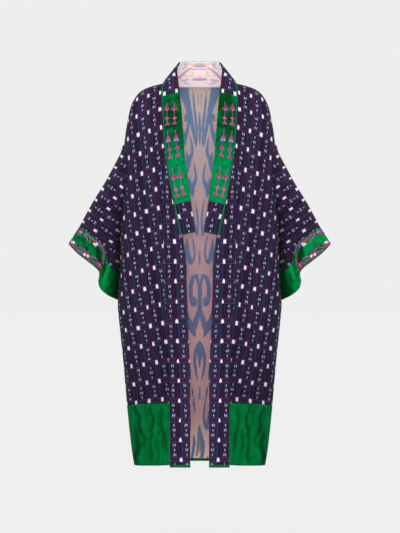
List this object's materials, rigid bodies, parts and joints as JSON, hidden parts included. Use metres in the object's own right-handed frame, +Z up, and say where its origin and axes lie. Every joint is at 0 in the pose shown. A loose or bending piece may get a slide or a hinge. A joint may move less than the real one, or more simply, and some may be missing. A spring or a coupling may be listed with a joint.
{
  "type": "chapan robe",
  "caption": "Open-fronted knee-length ikat chapan robe, filled out as worn, with standing neck band, wide dropped sleeves, velvet cuffs, lapel patches and hem bands.",
  "frame": {"origin": "centre of the neck at the height of the neck seam, where the wearer's shoulders and neck carry the robe", "axes": "+Z up, -Y out through the open front, +X to the wearer's left side"},
  "size_m": [0.76, 0.2609, 1.1717],
  "materials": {
    "navy_ikat": "matt woven cotton, navy with pale dots and plum pinstripes",
    "hem_velvet": "emerald velvet, soft sheen",
    "patch_velvet": "dark green velvet with silk embroidery",
    "cuff_velvet": "bright green velvet with silk embroidery",
    "piping": "green cotton sateen piping",
    "rose_lining": "matt cotton, rose beige with slate blue ikat",
    "pink_facing": "matt cotton, pale pink with soft ikat streaks"
  },
  "bodies": {
    "root": {"back": "navy_ikat", "back_hem_band": "hem_velvet", "back_lining": "rose_lining", "front_l": "navy_ikat", "front_r": "navy_ikat", "gore_l": "navy_ikat", "gore_r": "navy_ikat", "hem_band_l": "hem_velvet", "hem_band_r": "hem_velvet", "gore_binding_l": "hem_velvet", "gore_binding_r": "hem_velvet", "band_l": "navy_ikat", "band_r": "navy_ikat", "neck_facing": "pink_facing", "neck_patch": "patch_velvet", "piping_l": "piping", "piping_r": "piping", "lapel_patch_l": "patch_velvet", "lapel_patch_r": "patch_velvet", "sleeve_l": "navy_ikat", "sleeve_r": "navy_ikat", "cuff_panel_l": "cuff_velvet", "cuff_panel_r": "cuff_velvet", "cuff_under_l": "cuff_velvet", "cuff_under_r": "cuff_velvet"}
  },
  "joints": []
}
